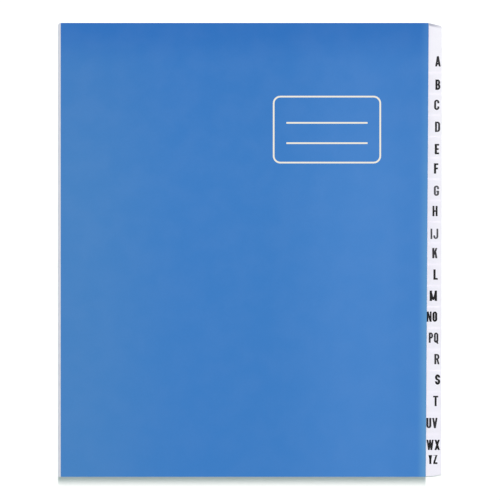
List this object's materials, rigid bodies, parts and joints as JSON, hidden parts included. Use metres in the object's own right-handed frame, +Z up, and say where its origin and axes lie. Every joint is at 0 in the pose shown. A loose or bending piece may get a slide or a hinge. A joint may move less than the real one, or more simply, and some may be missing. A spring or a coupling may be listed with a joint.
{
  "type": "alphabetical desk sorter",
  "caption": "Closed expanding desk sorter: board covers, letter-size card dividers with stepped alphabet tabs, and a folded paper gusset at the spine.",
  "frame": {"origin": "middle of the footprint, on the surface that the back cover lies on", "axes": "+X from the spine to the tabs, +Y up the sheets towards the A tab, +Z up through the closed stack to the front cover"},
  "size_m": [0.2554, 0.302, 0.0159],
  "materials": {
    "cover_board": "satin blue laminate over pressed board",
    "gusset_paper": "matt, stout, folded",
    "divider_card": "smooth white card"
  },
  "bodies": {
    "block": {"gusset": "gusset_paper", "divider_a": "divider_card", "divider_b": "divider_card", "divider_c": "divider_card", "divider_d": "divider_card", "divider_e": "divider_card", "divider_f": "divider_card", "divider_g": "divider_card", "divider_h": "divider_card", "divider_ij": "divider_card", "divider_k": "divider_card", "divider_l": "divider_card", "divider_m": "divider_card", "divider_no": "divider_card", "divider_pq": "divider_card", "divider_r": "divider_card", "divider_s": "divider_card", "divider_t": "divider_card", "divider_uv": "divider_card", "divider_wx": "divider_card", "divider_yz": "divider_card"},
    "front": {"front_cover": "cover_board", "front_hinge_panel": "gusset_paper"},
    "back": {"back_cover": "cover_board", "back_hinge_panel": "gusset_paper"}
  },
  "joints": [
    {"name": "front_cover_hinge", "type": "hinge", "parent": "block", "child": "front", "pos_m": [-0.12755, 0, 0.01494], "axis": [0, -1, 0], "range_deg": [0, 182.5]},
    {"name": "back_cover_hinge", "type": "hinge", "parent": "block", "child": "back", "pos_m": [-0.12755, 0, 0.00098], "axis": [0, 1, 0], "range_deg": [0, 180]}
  ]
}
